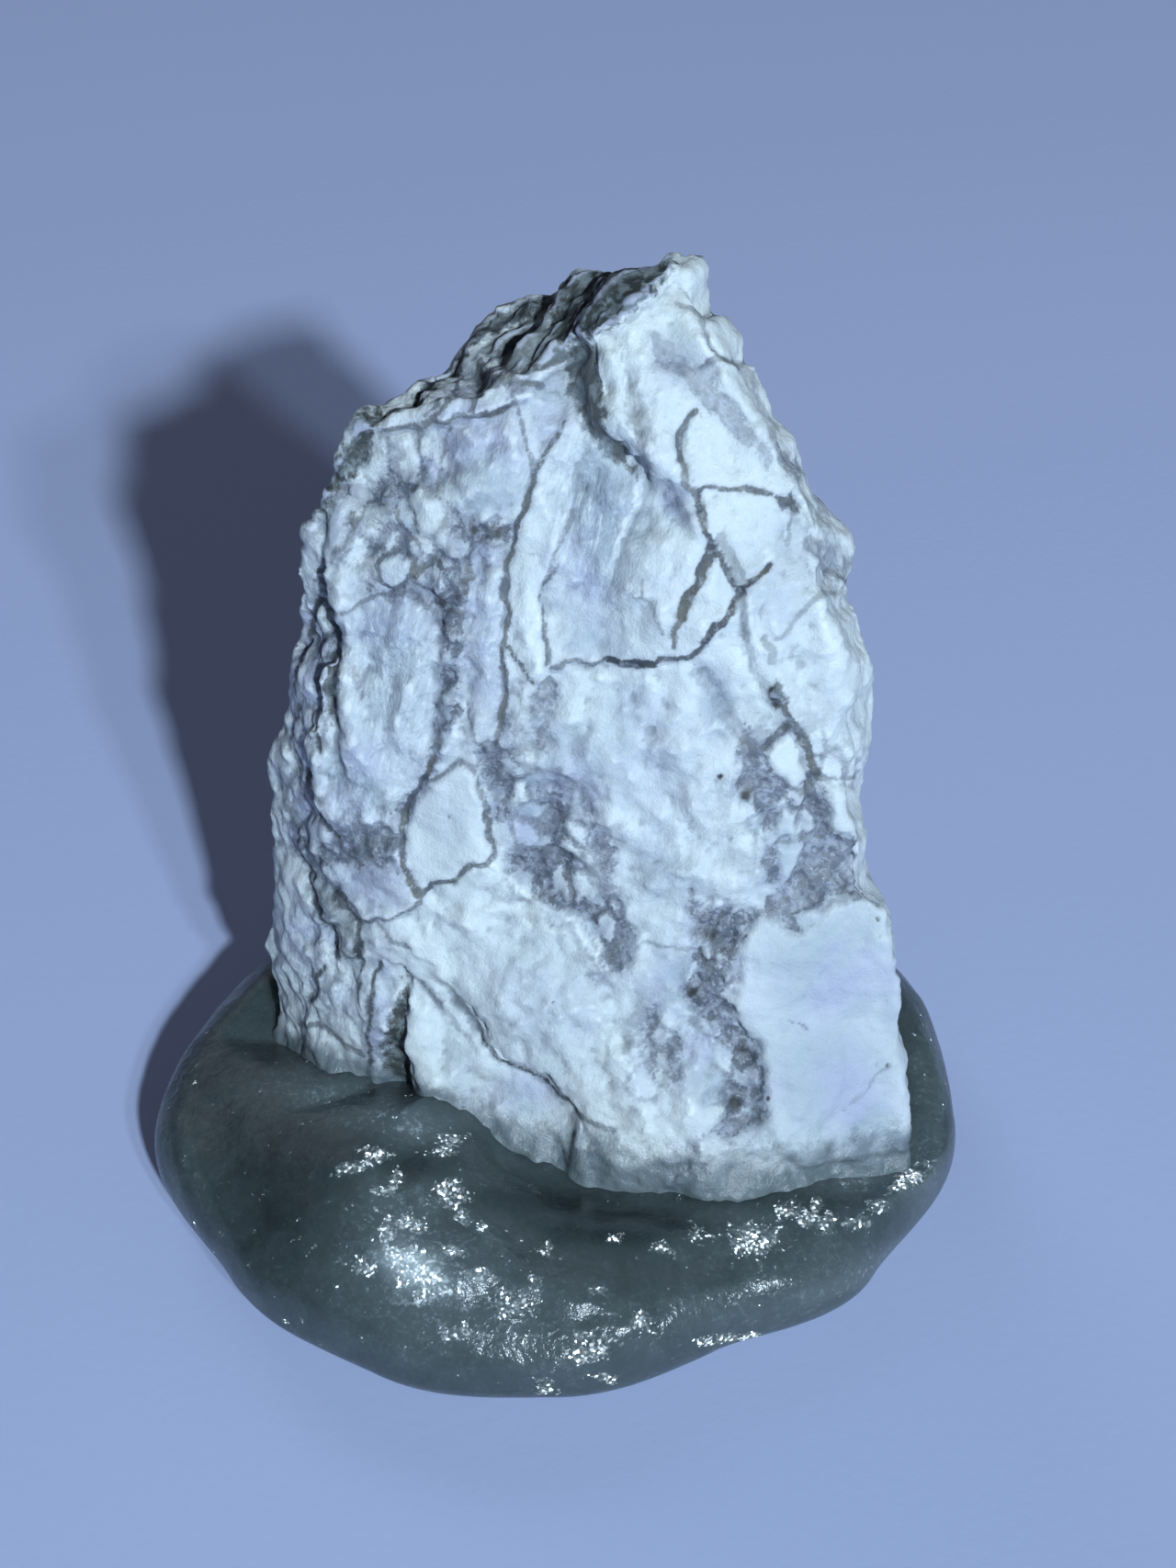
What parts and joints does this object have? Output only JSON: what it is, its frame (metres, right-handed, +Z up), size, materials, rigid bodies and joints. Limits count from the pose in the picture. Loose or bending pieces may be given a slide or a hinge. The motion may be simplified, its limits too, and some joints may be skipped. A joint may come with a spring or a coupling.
{
  "type": "rough howlite specimen in a lump of mounting putty",
  "caption": "Broken wedge of veined white howlite standing upright, its foot pressed into a low lump of translucent grey mounting putty with a flat base.",
  "frame": {"origin": "middle of the putty's flat base, on the surface it stands on", "axes": "+Z up through the stone, -Y towards its broad front, +X to the right seen from the front"},
  "size_m": [0.0488, 0.0416, 0.0569],
  "materials": {
    "howlite": "matte",
    "putty": "gloss"
  },
  "bodies": {
    "root": {"howlite": "howlite", "putty_base": "putty"}
  },
  "joints": []
}
